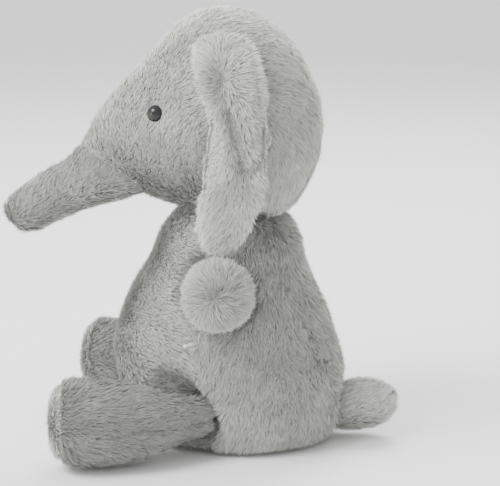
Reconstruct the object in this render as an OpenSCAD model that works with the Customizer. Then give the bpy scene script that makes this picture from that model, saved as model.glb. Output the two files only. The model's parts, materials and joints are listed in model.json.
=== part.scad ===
// Sitting plush elephant, sewn from pile fabric panels over soft stuffing.
// Faces -Y, its left side is +X, +Z is up. The origin lies on the flat seat, on the centre plane.

/* [Fabric] */
// Thickness of the plush fabric, backing and pile together
fabric = 5; // [3:0.5:6]
// Free space between a fabric panel and the stuffing behind it
lining_gap = 0.3; // [0.1:0.1:0.6]
// Width of the seam groove between neighbouring panels, in degrees round the form
seam_gap = 1; // [0.5:0.5:2]

/* [Body] */
// Half of the body's width at its widest
body_half_w = 60; // [50:1:66]
// Half of the body's depth, front to back, at its widest
body_half_d = 76; // [66:1:80]
// Radius of the ball that the head sits on
neck_ball_r = 50; // [47:1:51]
// Height of the neck ball's centre above the seat
neck_ball_z = 112; // [108:1:116]
// Radius of the neck opening
neck_bore_r = 15; // [12:1:18]
// Radius of the bag of pellets in the seat
pellet_bag_r = 34; // [24:1:38]
// Height of the bag of pellets in the seat
pellet_bag_h = 18; // [10:1:22]

/* [Head] */
// Half of the head's width at its widest
head_half_w = 59; // [54:1:62]
// Half of the top gusset's width, in degrees round the head
gusset_half = 26; // [18:1:34]
// Half of the chin gusset's width, in degrees round the head
chin_half = 30; // [20:1:38]
// Diameter of a safety eye
eye_d = 10.5; // [8:0.5:12]
// Diameter of the washer that locks an eye from inside
washer_d = 13; // [12:0.5:16]

/* [Limbs] */
// Radius of the round end of an arm
paw_r = 23.5; // [21:0.5:24]
// Radius of a foot
foot_r = 29.5; // [27:0.5:30]
// Radius of the trunk where it leaves the head
trunk_r = 20; // [17:0.5:21]
// Radius of the tail at its thickest
tail_r = 18.5; // [15:0.5:18.5]
// Room left round a limb that moves
room = 0.8; // [0.5:0.1:1.2]

/* [Tag] */
// Length of the plastic thread left at the side seam
tag_thread_l = 7; // [4:0.5:10]

/* [Hidden] */

plush = "#b3b4ae";
plush_light = "#c9cac2";
stuffing_white = "#f2f2ee";
eye_black = "#151515";
washer_grey = "#d8d8d8";
bag_white = "#e6e4dc";

probe = 0.02;
smooth_fn = 48;
room_fn = 16;
stuffing_depth = fabric + lining_gap;
// The head's and the body's facets are long, so their stuffing keeps further from the fabric
wide_stuffing_depth = stuffing_depth + 0.9;

// Joint centres
neck_pivot = [0, -1, neck_ball_z];
trunk_pivot = [0, -72, 170];
hip = [50, -18, 27];
shoulder = [38, -3, 108];
tail_root = [0, 64, 19.5];

// How far each joint may travel, in degrees
trunk_swing = 15;
leg_lift = 25;
arm_forward = 35;
arm_back = 20;
tail_swing = 15;

// ---- Forms: a list of stations [x, y, z, tilt, turn, half_a, half_b] joined by a smooth curve ----
function spline(a, b, c, d, t) =
    0.5 * (2 * b + (c - a) * t + (2 * a - 5 * b + 4 * c - d) * t * t
           + (3 * b - a - 3 * c + d) * t * t * t);

function station(form, s) =
    let (last = len(form) - 1, c = max(0, min(last, s)), i = min(last - 1, floor(c)))
    spline(form[max(0, i - 1)], form[i], form[i + 1], form[min(last, i + 2)], c - i);

function turned(v, tilt, turn) =
    let (y = v.y * cos(tilt) - v.z * sin(tilt), z = v.y * sin(tilt) + v.z * cos(tilt))
    [v.x * cos(turn) - y * sin(turn), v.x * sin(turn) + y * cos(turn), z];

function on_form(form, s, phi) =
    let (q = station(form, s))
    [q[0], q[1], q[2]] + turned([q[5] * cos(phi), 0, q[6] * sin(phi)], q[3], q[4]);

function form_normal(form, s, phi) =
    let (along = on_form(form, s + probe, phi) - on_form(form, s - probe, phi),
         around = on_form(form, s, phi + 1) - on_form(form, s, phi - 1),
         n = cross(around, along))
    n / norm(n);

function inset(form, s, phi, depth) =
    on_form(form, s, phi) - depth * form_normal(form, s, phi);

// Station of a ring that faces the direction `dir`
function ring_at(centre, dir, half_a, half_b) =
    let (d = dir / norm(dir))
    [centre.x, centre.y, centre.z, asin(-d.z), atan2(d.x, -d.y), half_a, half_b];

// Rings of the round back of a ball joint, from its pole forwards
function ball_back(centre, dir, r) =
    let (d = dir / norm(dir))
    [for (a = [6, 30, 56]) ring_at(centre - d * r * cos(a), dir, r * sin(a), r * sin(a))];

// ---- Solids made from grids of points ----
function grid_faces(rows, cols, start, flip) =
    [for (i = [0:rows - 2], j = [0:cols - 2])
        let (a = start + i * cols + j, b = a + 1, c = a + cols, d = c + 1)
        each (flip ? [[a, b, d], [a, d, c]] : [[a, d, b], [a, c, d]])];

function edge_faces(rim, shift) =
    [for (k = [0:len(rim) - 1])
        let (a = rim[k], b = rim[(k + 1) % len(rim)])
        each [[a, b, b + shift], [a, b + shift, a + shift]]];

// Closed sheet between an outer and an inner grid of points
module sheet(outer, inner) {
    rows = len(outer);
    cols = len(outer[0]);
    count = rows * cols;
    rim = concat([for (j = [0:cols - 1]) j],
                 [for (i = [1:rows - 1]) i * cols + cols - 1],
                 [for (j = [cols - 2:-1:0]) (rows - 1) * cols + j],
                 [for (i = [rows - 2:-1:1]) i * cols]);
    polyhedron(points = [for (g = [outer, inner], row = g, p = row) p],
               faces = concat(grid_faces(rows, cols, 0, false),
                              grid_faces(rows, cols, count, true),
                              edge_faces(rim, count)));
}

// A fabric panel: part of a form's surface, `thick` deep
module panel(form, s_range, phi_range, divisions, thick = fabric) {
    ns = divisions[0];
    np = divisions[1];
    function at(i, j, depth) =
        inset(form, s_range[0] + (s_range[1] - s_range[0]) * i / ns,
              phi_range[0] + (phi_range[1] - phi_range[0]) * j / np, depth);
    sheet([for (i = [0:ns]) [for (j = [0:np]) at(i, j, 0)]],
          [for (i = [0:ns]) [for (j = [0:np]) at(i, j, thick)]]);
}

// A closed solid that fills a form to `depth` below its surface
module fill(form, s_range, divisions, depth) {
    ns = divisions[0];
    np = divisions[1];
    rings = [for (i = [0:ns]) [for (j = [0:np - 1])
        inset(form, s_range[0] + (s_range[1] - s_range[0]) * i / ns, 360 * j / np, depth)]];
    sides = [for (i = [0:ns - 1], j = [0:np - 1])
        let (a = i * np + j, b = i * np + (j + 1) % np, c = a + np, d = b + np)
        each [[a, d, b], [a, c, d]]];
    caps = concat([for (j = [1:np - 2]) [0, j, j + 1]],
                  [for (j = [1:np - 2]) [ns * np, ns * np + j + 1, ns * np + j]]);
    polyhedron(points = [for (row = rings, p = row) p], faces = concat(sides, caps));
}

// A chain of balls [centre, radius], each joined to the next
module chain(balls, extra) {
    for (i = [0:len(balls) - 2])
        hull() {
            translate(balls[i][0]) sphere(r = balls[i][1] + extra, $fn = room_fn);
            translate(balls[i + 1][0]) sphere(r = balls[i + 1][1] + extra, $fn = room_fn);
        }
}

module swung(centre, axis, angles) {
    for (a = angles)
        translate(centre) rotate(a, axis) translate(-centre) children();
}

module on_right() {
    mirror([1, 0, 0]) children();
}

// ---- Body form: horizontal rings from the flat seat up to the neck ball ----
function body_ring(z, y, w, d) = [0, y, z, -90, 0, w * body_half_w, d * body_half_d];
function neck_ring(a) =
    [0, neck_pivot.y, neck_pivot.z + neck_ball_r * cos(a), -90, 0,
     neck_ball_r * sin(a), neck_ball_r * sin(a)];

body_form = concat(
    [body_ring(0, 6, 0.78, 0.76), body_ring(5, 6, 0.89, 0.88), body_ring(18, 5, 0.97, 0.97),
     body_ring(38, 2, 1, 1), body_ring(60, -3, 1, 0.99), body_ring(82, -4.5, 0.96, 0.91),
     body_ring(99, -4.5, 0.89, 0.82), body_ring(112, -4, 0.85, 0.725)],
    [for (a = [74, 58, 42, 26, 10, 2]) neck_ring(a)]);
body_top = len(body_form) - 1;
opening_s = body_top - 1.48;
side_seam = -13;
nape_seam = 90;

// ---- Head form: upright rings from the nape forwards to the root of the trunk ----
function head_ring(y, z, w, h) = [0, y, z, 0, 0, w * head_half_w, h];
head_form = [
    head_ring(61, 203, 0.04, 2.5), head_ring(59.5, 203, 0.24, 14), head_ring(56, 203, 0.42, 25),
    head_ring(48.5, 203, 0.65, 42), head_ring(37, 204.5, 0.84, 57.5), head_ring(18, 208, 0.97, 67),
    head_ring(-4, 212, 1, 69), head_ring(-28, 211.5, 0.95, 63), head_ring(-48, 205, 0.83, 48.5),
    head_ring(-64, 200.5, 0.68, 37), head_ring(-78, 198, 0.5, 24.5), head_ring(-87, 195.5, 0.33, 14.5),
    head_ring(-91.5, 194.5, 0.18, 8), head_ring(-93, 194, 0.05, 2.5)];
head_last = len(head_form) - 1;
stuffing_front = 9.7;
chin_front = 9.6;
neck_back_s = 5.2;

// ---- Trunk form: along a gentle curve, from the ball in the head to the blunt tip ----
trunk_dir = [0, -14, -2.5];
trunk_wide = 1.16;
trunk_flat = 0.88;
trunk_form = concat(
    [for (q = ball_back(trunk_pivot, trunk_dir, trunk_r))
        [each [for (k = [0:4]) q[k]], q[5] * trunk_wide, q[6] * trunk_flat]],
    [ring_at(trunk_pivot, trunk_dir, trunk_r * trunk_wide, trunk_r * trunk_flat),
     ring_at([0, -88, 167.6], [0, -14, -3.5], trunk_r * 1.1, trunk_r * 0.92),
     ring_at([0, -104, 162.4], [0, -14, -5.5], trunk_r * 0.98, trunk_r * 0.95),
     ring_at([0, -119, 154.6], [0, -13, -6.5], trunk_r * 0.88, trunk_r * 0.91),
     ring_at([0, -130.5, 147.6], [0, -11, -6.5], trunk_r * 0.82, trunk_r * 0.85),
     ring_at([0, -139, 142], [0, -9, -6.5], trunk_r * 0.67, trunk_r * 0.72),
     ring_at([0, -143, 139.2], [0, -9, -6.5], trunk_r * 0.42, trunk_r * 0.45),
     ring_at([0, -144.6, 138.1], [0, -9, -6.5], trunk_r * 0.07, trunk_r * 0.07)]);
trunk_last = len(trunk_form) - 1;
trunk_balls = [[trunk_pivot, trunk_r], [[0, -88, 167.2], trunk_r], [[0, -104, 162.5], trunk_r]];

// ---- Leg form (left): from the hip ball out and forwards to the foot ----
hip_r = 15;
leg_dir = [9, -16, 0];
leg_form = concat(
    ball_back(hip, leg_dir, hip_r),
    [ring_at(hip, leg_dir, hip_r, hip_r),
     ring_at([58, -33, 27], [8, -16, 0], hip_r * 1.22, hip_r * 1.22),
     ring_at([66, -51, 27.5], [6, -18, 0], foot_r * 0.8, foot_r * 0.86),
     ring_at([72, -72, 29], [5, -20, 0], foot_r * 0.93, foot_r * 0.97),
     ring_at([76, -91, 29.8], [3, -20, 0], foot_r * 0.95, foot_r),
     ring_at([77.5, -102, 30.2], [2, -20, 0], foot_r * 0.8, foot_r * 0.88),
     ring_at([78.1, -108, 30.4], [2, -20, 0], foot_r * 0.48, foot_r * 0.56),
     ring_at([78.2, -109.6, 30.4], [2, -20, 0], foot_r * 0.06, foot_r * 0.06)]);
leg_last = len(leg_form) - 1;
sole_s = leg_last - 1.9;
leg_balls = [[hip, hip_r], [[58, -33, 27], hip_r * 1.22], [[66, -51, 27.5], foot_r * 0.86],
             [[72, -72, 29], foot_r * 0.97]];

// ---- Arm form (left): straight out from the shoulder, ending in a round paw ----
shoulder_r = 15;
arm_dir = [1, 0, 0.04];
arm_form = concat(
    ball_back(shoulder, arm_dir, shoulder_r),
    [ring_at(shoulder, arm_dir, shoulder_r, shoulder_r),
     ring_at([52, -3, 108.6], arm_dir, paw_r * 0.76, paw_r * 0.74),
     ring_at([62, -3, 109.4], arm_dir, paw_r * 0.95, paw_r * 0.93),
     ring_at([71, -3, 110], arm_dir, paw_r, paw_r),
     ring_at([81, -3, 110.4], arm_dir, paw_r * 0.9, paw_r * 0.9),
     ring_at([88.5, -3, 110.7], arm_dir, paw_r * 0.62, paw_r * 0.62),
     ring_at([92, -3, 110.9], arm_dir, paw_r * 0.3, paw_r * 0.3),
     ring_at([92.8, -3, 110.9], arm_dir, paw_r * 0.05, paw_r * 0.05)]);
arm_last = len(arm_form) - 1;
arm_balls = [[shoulder, shoulder_r], [[52, -3, 108.6], paw_r * 0.76], [[62, -3, 109.4], paw_r * 0.95]];

// ---- Tail form: short and thick, curling up behind the seat ----
tail_root_r = tail_r - 2.5;
tail_dir = [0, 1, 0.05];
tail_form = concat(
    ball_back(tail_root, tail_dir, tail_root_r),
    [ring_at(tail_root, tail_dir, tail_root_r, tail_root_r),
     ring_at([0, 76, 20.3], [0, 1, 0.1], tail_r * 0.97, tail_r * 0.97),
     ring_at([0, 87, 22.4], [0, 1, 0.3], tail_r * 0.98, tail_r),
     ring_at([0, 96.5, 25.2], [0, 1, 0.5], tail_r * 0.89, tail_r * 0.91),
     ring_at([0, 103.5, 28.4], [0, 1, 0.6], tail_r * 0.61, tail_r * 0.63),
     ring_at([0, 106.8, 30], [0, 1, 0.6], tail_r * 0.34, tail_r * 0.35),
     ring_at([0, 108, 30.6], [0, 1, 0.6], tail_r * 0.06, tail_r * 0.06)]);
tail_last = len(tail_form) - 1;
tail_balls = [[tail_root, tail_root_r], [[0, 76, 20.3], tail_r * 0.97], [[0, 87, 22.4], tail_r]];

// ---- Ear form (left): a long leaf that hangs from high on the head ----
ear_half_t = 4.8;
function ear_ring(x, y, z, w) = [x, y, z, 90, 0, ear_half_t, w];
ear_form = [
    ear_ring(42.2, -1, 266.8, 8), ear_ring(45.8, -0.5, 263.1, 15), ear_ring(51.3, 0, 256.4, 20),
    ear_ring(57.5, 3, 243, 21.5), ear_ring(63, 8, 226, 20), ear_ring(65.2, 9, 208, 20.3),
    ear_ring(65, 7, 190, 21.5), ear_ring(63.5, 5, 172, 21.3), ear_ring(61, 1, 154, 19.5),
    ear_ring(59.5, -0.5, 143, 16), ear_ring(58.2, -1.5, 135, 10), ear_ring(57.8, -1.5, 132, 4)];
ear_last = len(ear_form) - 1;

// ---- Rooms cut out of one body for the parts that move against it ----
module neck_dish() {
    cap_and_gaps = 3.1;
    translate(neck_pivot) sphere(r = neck_ball_r + cap_and_gaps, $fn = smooth_fn);
}

module trunk_room() {
    hull() swung(trunk_pivot, [1, 0, 0], [-trunk_swing, 0, trunk_swing])
        for (side = [-1, 1])
            translate([side * (trunk_wide - 1) * trunk_r, 0, 0]) chain(trunk_balls, room);
}

module leg_room() {
    hull() swung(hip, [-1, 0, 0], [0, leg_lift / 2, leg_lift]) chain(leg_balls, room);
}

module arm_room() {
    hull() swung(shoulder, [0, 0, 1], [-arm_forward, -arm_forward / 2, 0, arm_back])
        chain(arm_balls, room);
}

module tail_room() {
    hull() swung(tail_root, [1, 0, 0], [-tail_swing, 0, tail_swing]) chain(tail_balls, room);
}

module body_rooms() {
    leg_room();
    on_right() leg_room();
    arm_room();
    on_right() arm_room();
    tail_room();
}

// ---- Body ----
module belly_panel() {
    color(plush)
        difference() {
            panel(body_form, [0, opening_s], [-180 - side_seam + seam_gap / 2, side_seam - seam_gap / 2],
                  [14, 12]);
            body_rooms();
        }
}

module back_panel() {
    difference() {
        panel(body_form, [0, opening_s], [side_seam + seam_gap / 2, nape_seam - seam_gap / 2], [14, 9]);
        leg_room();
        arm_room();
        tail_room();
    }
}

module back_panel_left() {
    color(plush) back_panel();
}

module back_panel_right() {
    color(plush) on_right() back_panel();
}

base_t = 3.2;
module base_panel() {
    edge = 60;
    seat_w = 0.67 * body_half_w;
    seat_d = 0.66 * body_half_d;
    color(plush)
        linear_extrude(base_t)
            polygon([for (k = [0:edge - 1])
                [seat_w * cos(360 * k / edge), 6 + seat_d * sin(360 * k / edge)]]);
}

bag_clear = 0.5;
module body_stuffing() {
    color(stuffing_white)
        difference() {
            fill(body_form, [0, body_top], [17, 28], wide_stuffing_depth);
            body_rooms();
            translate([0, 6, -1]) cylinder(r = pellet_bag_r + bag_clear,
                                          h = base_t + pellet_bag_h + 1 + 2 * bag_clear, $fn = smooth_fn);
            translate([0, neck_pivot.y, neck_pivot.z + 10])
                cylinder(r = neck_bore_r - 0.6, h = 60, $fn = smooth_fn);
        }
}

module pellet_bag() {
    half = pellet_bag_h / 2;
    color(bag_white)
        translate([0, 6, base_t + bag_clear])
            rotate_extrude($fn = smooth_fn)
                intersection() {
                    hull() {
                        translate([pellet_bag_r - half, half]) circle(r = half, $fn = smooth_fn);
                        translate([0, 0]) square([1, pellet_bag_h]);
                    }
                    square([pellet_bag_r, pellet_bag_h]);
                }
}

tag_thread_d = 1.6;
module tag_thread() {
    tag_s = 4.7;
    foot = on_form(body_form, tag_s, side_seam);
    color("white")
        translate(foot + [0.4, 0, 0])
            rotate([0, 90, -35])
                cylinder(d = tag_thread_d, h = tag_thread_l, $fn = 24);
}

// ---- Neck ----
module neck_stuffing() {
    cap_low = neck_ball_r + 0.8;
    cap_high = cap_low + 1.5;
    cap_angle = 33;
    stem_bottom = 14;
    stem_r = neck_bore_r - 2.5;
    color(stuffing_white)
        translate(neck_pivot)
            rotate_extrude($fn = smooth_fn)
                union() {
                    difference() {
                        intersection() {
                            circle(r = cap_high, $fn = 2 * smooth_fn);
                            polygon([[0, 0], [0, 2 * cap_high],
                                     [2 * cap_high * tan(cap_angle), 2 * cap_high]]);
                        }
                        circle(r = cap_low, $fn = 2 * smooth_fn);
                        translate([-cap_high, -cap_high]) square([cap_high, 2 * cap_high]);
                    }
                    intersection() {
                        circle(r = (cap_low + cap_high) / 2, $fn = 2 * smooth_fn);
                        translate([0, stem_bottom]) square([stem_r, cap_high - stem_bottom]);
                    }
                }
}

// ---- Head ----
module head_rooms() {
    neck_dish();
    trunk_room();
}

eye_at = [44.9, -43, 217];
eye_tilt = 14;
eye_turn = -33;
module at_eye() {
    translate(eye_at) rotate([0, 0, eye_turn]) rotate([0, 90 - eye_tilt, 0]) children();
}

stem_d = 3.2;
stem_l = 9;
module eye_hole() {
    hole_d = stem_d + 0.6;
    seat_d = eye_d + 0.6;
    at_eye() {
        translate([0, 0, -stem_l]) cylinder(d = hole_d, h = stem_l + 1, $fn = 20);
        translate([0, 0, -0.2]) cylinder(d = seat_d, h = 12, $fn = 28);
    }
}

// The stuffing is pushed aside round the stem and the washer
module eye_pocket() {
    at_eye() translate([0, 0, -stem_l - 1.5]) cylinder(d = washer_d + 1, h = stem_l + 12, $fn = 20);
}

module head_side() {
    difference() {
        panel(head_form, [0, head_last], [-90 + chin_half + seam_gap / 2, 90 - gusset_half - seam_gap / 2],
              [18, 9]);
        head_rooms();
        eye_hole();
    }
}

module head_side_left() {
    color(plush) head_side();
}

module head_side_right() {
    color(plush) on_right() head_side();
}

module head_gusset() {
    color(plush_light)
        difference() {
            panel(head_form, [0, head_last],
                  [90 - gusset_half + seam_gap / 2, 90 + gusset_half - seam_gap / 2], [18, 5]);
            head_rooms();
        }
}

module under_head(s_range, divisions) {
    difference() {
        panel(head_form, s_range,
              [-90 - chin_half + seam_gap / 2, -90 + chin_half - seam_gap / 2], divisions);
        head_rooms();
    }
}

module chin_gusset() {
    color(plush) under_head([neck_back_s, chin_front], [10, 5]);
}

module nape_gusset() {
    color(plush) under_head([0, neck_back_s], [8, 5]);
}

module head_stuffing() {
    color(stuffing_white)
        difference() {
            fill(head_form, [0, stuffing_front], [20, 26], wide_stuffing_depth);
            head_rooms();
            eye_pocket();
            on_right() eye_pocket();
        }
}

module eye() {
    dome_h = 4;
    dome_r = (eye_d * eye_d / 4 + dome_h * dome_h) / (2 * dome_h);
    at_eye() {
        intersection() {
            translate([0, 0, dome_h - dome_r]) sphere(r = dome_r, $fn = smooth_fn);
            cylinder(d = eye_d, h = dome_h + 1, $fn = smooth_fn);
        }
        translate([0, 0, -stem_l]) cylinder(d = stem_d, h = stem_l + 0.5, $fn = 24);
    }
}

module eye_left() {
    color(eye_black) eye();
}

module eye_right() {
    color(eye_black) on_right() eye();
}

washer_t = 1.2;
washer_depth = 3.3;
module eye_washer() {
    at_eye()
        translate([0, 0, -washer_depth])
            difference() {
                cylinder(d = washer_d, h = washer_t, $fn = smooth_fn);
                translate([0, 0, -1]) cylinder(d = stem_d, h = washer_t + 2, $fn = 24);
            }
}

module eye_washer_left() {
    color(washer_grey) eye_washer();
}

module eye_washer_right() {
    color(washer_grey) on_right() eye_washer();
}

// ---- Trunk ----
under_half = 42;
module trunk_upper() {
    color(plush)
        panel(trunk_form, [0.6, trunk_last], [-90 + under_half + 1, 270 - under_half - 1], [14, 14]);
}

module trunk_underside() {
    color(plush)
        panel(trunk_form, [0.6, trunk_last], [-90 - under_half + 1, -90 + under_half - 1], [14, 5]);
}

module trunk_stuffing() {
    color(stuffing_white) fill(trunk_form, [0, trunk_last], [14, 18], stuffing_depth);
}

// ---- Ears: an outer and an inner face, back to back ----
module ear_face(side) {
    divisions = [16, 8];
    half_gap = 0.15;
    function s_at(i) = ear_last * i / divisions[0];
    function phi_at(j) = (side > 0 ? -84 : 96) + 168 * j / divisions[1];
    function middle(s, phi) =
        let (q = station(ear_form, s))
        [q[0] + side * half_gap, q[1] - 0.96 * q[6] * sin(phi), q[2]];
    sheet([for (i = [0:divisions[0]]) [for (j = [0:divisions[1]]) on_form(ear_form, s_at(i), phi_at(j))]],
          [for (i = [0:divisions[0]]) [for (j = [0:divisions[1]]) middle(s_at(i), phi_at(j))]]);
}

module ear_outer_left() {
    color(plush_light) ear_face(1);
}

module ear_inner_left() {
    color(plush_light) ear_face(-1);
}

module ear_outer_right() {
    color(plush_light) on_right() ear_face(1);
}

module ear_inner_right() {
    color(plush_light) on_right() ear_face(-1);
}

// ---- Arms ----
module arm_half(phi_start) {
    panel(arm_form, [0.6, arm_last], [phi_start + 1, phi_start + 179], [12, 9]);
}

module arm_stuffing() {
    fill(arm_form, [0, arm_last], [12, 18], stuffing_depth);
}

module arm_upper_left() {
    color(plush) arm_half(0);
}

module arm_lower_left() {
    color(plush) arm_half(180);
}

module arm_stuffing_left() {
    color(stuffing_white) arm_stuffing();
}

module arm_upper_right() {
    color(plush) on_right() arm_half(0);
}

module arm_lower_right() {
    color(plush) on_right() arm_half(180);
}

module arm_stuffing_right() {
    color(stuffing_white) on_right() arm_stuffing();
}

// ---- Legs ----
module leg_half(phi_start) {
    panel(leg_form, [0.6, sole_s - 0.03], [phi_start + 1, phi_start + 179], [12, 9]);
}

module foot_sole() {
    rings = 3;
    round = 20;
    function row(i) = [for (j = [0:round - 1]) [i, 360 * j / round]];
    first = sole_s + 0.03;
    function at(p, depth) = inset(leg_form, first + (leg_last - first) * p[0] / rings, p[1], depth);
    outer = [for (i = [0:rings], p = row(i)) at(p, 0)];
    inner = [for (i = [0:rings], p = row(i)) at(p, fabric)];
    count = len(outer);
    walls = [for (i = [0:rings - 1], j = [0:round - 1])
        let (a = i * round + j, b = i * round + (j + 1) % round, c = a + round, d = b + round)
        each [[a, d, b], [a, c, d], [a + count, b + count, d + count], [a + count, d + count, c + count]]];
    tip = rings * round;
    caps = [for (j = [1:round - 2])
        each [[tip, tip + j + 1, tip + j], [tip + count, tip + j + count, tip + j + 1 + count]]];
    rim = [for (j = [0:round - 1])
        let (b = (j + 1) % round)
        each [[j, b, b + count], [j, b + count, j + count]]];
    polyhedron(points = concat(outer, inner), faces = concat(walls, caps, rim));
}

module leg_stuffing() {
    fill(leg_form, [0, leg_last], [14, 20], stuffing_depth);
}

module leg_upper_left() {
    color(plush) leg_half(0);
}

module leg_lower_left() {
    color(plush) leg_half(180);
}

module foot_sole_left() {
    color(plush_light) foot_sole();
}

module leg_stuffing_left() {
    color(stuffing_white) leg_stuffing();
}

module leg_upper_right() {
    color(plush) on_right() leg_half(0);
}

module leg_lower_right() {
    color(plush) on_right() leg_half(180);
}

module foot_sole_right() {
    color(plush_light) on_right() foot_sole();
}

module leg_stuffing_right() {
    color(stuffing_white) on_right() leg_stuffing();
}

// ---- Tail ----
module tail_half(phi_start) {
    panel(tail_form, [0.6, tail_last], [phi_start + 1, phi_start + 179], [10, 9]);
}

module tail_upper() {
    color(plush) tail_half(0);
}

module tail_lower() {
    color(plush) tail_half(180);
}

module tail_stuffing() {
    color(stuffing_white) fill(tail_form, [0, tail_last], [10, 16], stuffing_depth);
}

belly_panel();
back_panel_left();
back_panel_right();
base_panel();
body_stuffing();
pellet_bag();
tag_thread();
neck_stuffing();
head_side_left();
head_side_right();
head_gusset();
chin_gusset();
nape_gusset();
head_stuffing();
eye_left();
eye_right();
eye_washer_left();
eye_washer_right();
trunk_upper();
trunk_underside();
trunk_stuffing();
ear_outer_left();
ear_inner_left();
ear_outer_right();
ear_inner_right();
arm_upper_left();
arm_lower_left();
arm_stuffing_left();
arm_upper_right();
arm_lower_right();
arm_stuffing_right();
leg_upper_left();
leg_lower_left();
foot_sole_left();
leg_stuffing_left();
leg_upper_right();
leg_lower_right();
foot_sole_right();
leg_stuffing_right();
tail_upper();
tail_lower();
tail_stuffing();
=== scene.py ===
"""A sitting plush elephant: stuffed fabric skins, mesh pile, glossy eyes, and a plain pale studio."""

import json
import math

import bmesh
import bpy
import numpy as np
from mathutils import Matrix, Vector
from mathutils.bvhtree import BVHTree
from mathutils.kdtree import KDTree


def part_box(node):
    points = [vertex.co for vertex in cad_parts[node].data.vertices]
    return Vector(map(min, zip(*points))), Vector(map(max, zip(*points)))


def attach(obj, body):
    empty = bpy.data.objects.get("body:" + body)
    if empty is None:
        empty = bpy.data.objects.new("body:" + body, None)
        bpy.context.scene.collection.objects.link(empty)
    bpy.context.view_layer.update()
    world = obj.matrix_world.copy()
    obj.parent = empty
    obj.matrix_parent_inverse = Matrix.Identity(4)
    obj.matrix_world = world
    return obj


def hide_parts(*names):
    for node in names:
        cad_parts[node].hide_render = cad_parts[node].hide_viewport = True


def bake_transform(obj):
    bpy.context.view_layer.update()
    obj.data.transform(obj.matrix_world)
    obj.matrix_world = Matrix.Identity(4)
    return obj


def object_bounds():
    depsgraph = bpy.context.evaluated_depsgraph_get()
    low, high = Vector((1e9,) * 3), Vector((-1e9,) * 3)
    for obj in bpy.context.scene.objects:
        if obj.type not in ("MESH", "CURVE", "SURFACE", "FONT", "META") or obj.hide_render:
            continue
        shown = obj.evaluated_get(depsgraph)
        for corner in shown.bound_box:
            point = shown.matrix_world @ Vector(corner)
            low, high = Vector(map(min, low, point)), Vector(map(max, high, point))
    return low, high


bl_info = {
    "name": "Plush Elephant",
    "version": (1, 0, 0),
    "blender": (4, 5, 0),
    "location": "3D View > Sidebar > Plush",
    "description": "Builds a sitting plush elephant round its sewn and stuffed frame",
    "category": "Add Mesh",
}

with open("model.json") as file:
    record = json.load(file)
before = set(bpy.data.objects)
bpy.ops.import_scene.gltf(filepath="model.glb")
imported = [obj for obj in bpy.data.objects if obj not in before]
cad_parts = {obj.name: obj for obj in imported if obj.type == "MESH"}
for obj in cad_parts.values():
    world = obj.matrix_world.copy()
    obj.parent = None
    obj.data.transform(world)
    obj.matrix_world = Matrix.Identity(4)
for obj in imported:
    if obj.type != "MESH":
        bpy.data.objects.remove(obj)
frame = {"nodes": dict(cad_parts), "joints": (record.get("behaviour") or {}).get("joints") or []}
cad_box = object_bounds()

MM = 0.001
UP = np.array([0.0, 0.0, 1.0])
BACKWARDS = np.array([0.0, 1.0, 0.0])
SIDEWAYS = np.array([1.0, 0.0, 0.0])
BAKE_UV = "OFBake"
STRAND_ROWS = 3
STRAND_POINTS = 2 * (STRAND_ROWS - 1) + 1
MOST_STRANDS = 62000
FEWEST_SKIN_POINTS = 100
SEEDS = {"body": 1000, "head": 2000, "ear": 4000, "arm": 5000, "leg": 6000, "tail": 7000}
SIDES = ((1.0, "left"), (-1.0, "right"))
LIGHTS = (
    ("Key Light", (0.6, -0.9, 1.3), 0.9, 34.0),
    ("Fill Light", (0.7, -1.4, 0.3), 1.0, 9.0),
    ("Back Light", (-0.9, 0.2, 1.3), 0.9, 26.0),
)


# ---- Settings ----
class SkinSettings(bpy.types.PropertyGroup):
    """How the stuffed skins are made from the frame's panels."""

    voxel: bpy.props.FloatProperty(
        name="Remesh Size", description="Edge length that a skin is remeshed to",
        default=3.6 * MM, unit="LENGTH")
    pile_depth: bpy.props.FloatProperty(
        name="Pile Depth", description="How far the backing lies under the tips of the pile",
        default=3.6 * MM, unit="LENGTH")
    pressure: bpy.props.FloatProperty(
        name="Stuffing Pressure", description="How hard the stuffing pushes the fabric out",
        default=4.0)
    swell_limit: bpy.props.FloatProperty(
        name="Swell Limit", description="The furthest that the stuffing may push the fabric",
        default=2.5 * MM, unit="LENGTH")
    seam_depth: bpy.props.FloatProperty(
        name="Seam Depth", description="How deep the body's seams pull the fabric in",
        default=1.0 * MM, unit="LENGTH")


class PileSettings(bpy.types.PropertyGroup):
    """The fabric's pile."""

    length: bpy.props.FloatProperty(
        name="Strand Length", description="Length of a strand of pile",
        default=7.6 * MM, unit="LENGTH")
    width: bpy.props.FloatProperty(
        name="Strand Width", description="Width of a lock of pile at its root",
        default=0.5 * MM, unit="LENGTH")
    per_square_cm: bpy.props.FloatProperty(
        name="Density", description="Locks of pile on a square centimetre",
        default=320.0)
    clump: bpy.props.FloatProperty(
        name="Clumping", description="How far the tips draw together into tufts",
        default=0.36, subtype="FACTOR")


class ColourSettings(bpy.types.PropertyGroup):
    """Colours of the fabric, the eyes and the floor."""

    root: bpy.props.FloatVectorProperty(
        name="Pile Root", description="Colour of the pile at its root",
        default=(0.25, 0.254, 0.232), size=3, subtype="COLOR")
    tip: bpy.props.FloatVectorProperty(
        name="Pile Tip", description="Colour of the pile at its tip",
        default=(0.48, 0.485, 0.452), size=3, subtype="COLOR")
    # Partly painted light: the ears and the head's top get paler tips where light from above falls on
    # them.
    pale_tip: bpy.props.FloatVectorProperty(
        name="Pale Pile Tip", description="Colour of the paler pile on the ears and the head's top",
        default=(0.62, 0.625, 0.58), size=3, subtype="COLOR")
    eye: bpy.props.FloatVectorProperty(
        name="Eye", description="Colour of the plastic eyes",
        default=(0.012, 0.012, 0.013), size=3, subtype="COLOR")
    floor: bpy.props.FloatVectorProperty(
        name="Floor", description="Colour of the floor",
        default=(0.9, 0.9, 0.9), size=3, subtype="COLOR")


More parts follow.
